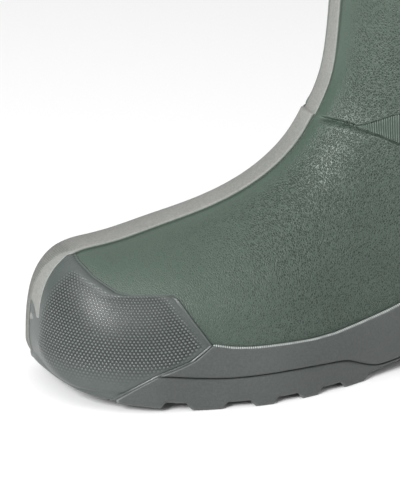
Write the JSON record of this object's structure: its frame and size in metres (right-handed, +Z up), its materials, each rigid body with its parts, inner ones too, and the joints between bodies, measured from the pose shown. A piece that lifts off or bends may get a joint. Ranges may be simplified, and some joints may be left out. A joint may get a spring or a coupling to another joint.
{
  "type": "tall work boot",
  "caption": "Tall pull-on work boot for the left foot: hollow moulded upper with a flat front band, toe cap, rand, lugged outsole with heel, and loose insole.",
  "frame": {"origin": "on the floor, under the middle of the boot's box", "axes": "+Z up, the toe towards -X and the outer side of the foot towards -Y"},
  "size_m": [0.3064, 0.1256, 0.3852],
  "materials": {
    "outsole": "satin moulded rubber",
    "rand": "satin, very fine grain",
    "toe_cap": "satin with small raised dots",
    "upper": "satin, pebbled like leather",
    "insole": "matt felt"
  },
  "bodies": {
    "root": {"outsole": "outsole", "rand": "rand", "toe_cap": "toe_cap", "upper": "upper", "insole": "insole"}
  },
  "joints": []
}
